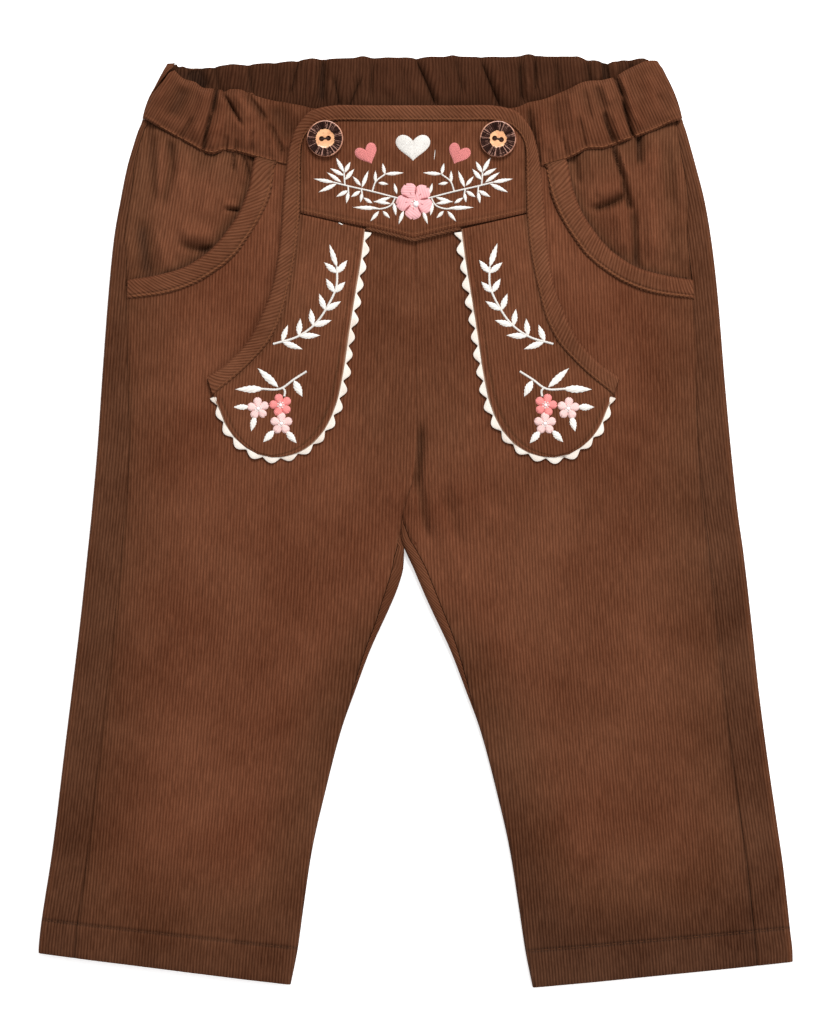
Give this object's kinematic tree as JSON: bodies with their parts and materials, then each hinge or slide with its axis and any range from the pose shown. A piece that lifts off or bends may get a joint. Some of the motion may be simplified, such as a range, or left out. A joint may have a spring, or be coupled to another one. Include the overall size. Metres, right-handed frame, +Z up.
{
  "type": "toddler's corduroy trousers",
  "caption": "Short-rise corduroy trousers laid flat: gathered elastic waist, bound drop-front flap with rounded wings, curved pockets, straight hemmed legs.",
  "frame": {"origin": "centre of the laid garment's bounding box, on the surface it lies on", "axes": "+Y from the hems to the waist, +Z up from the surface through back and front, +X towards the wearer's left leg"},
  "size_m": [0.3324, 0.4114, 0.0117],
  "materials": {
    "corduroy": "matte fine-wale cotton corduroy, wales down the leg",
    "bias_corduroy": "the same corduroy cut on the bias, wales at a slant",
    "cotton_braid": "matte off-white cotton braid and embroidery thread",
    "coconut_shell": "semi-gloss, dark bark ring round a pale dished middle"
  },
  "bodies": {
    "root": {"front_panel_right": "corduroy", "front_panel_left": "corduroy", "back_panel_right": "corduroy", "back_panel_left": "corduroy", "pocket_bag_right": "corduroy", "pocket_bag_left": "corduroy", "waistband_front": "corduroy", "waistband_back": "corduroy", "flap_yoke": "corduroy", "flap_wing_right": "corduroy", "flap_wing_left": "corduroy", "flap_binding": "bias_corduroy", "pocket_binding_right": "bias_corduroy", "pocket_binding_left": "bias_corduroy", "yoke_piping": "bias_corduroy", "ricrac_right": "cotton_braid", "ricrac_left": "cotton_braid", "button_right": "coconut_shell", "button_left": "coconut_shell"}
  },
  "joints": []
}
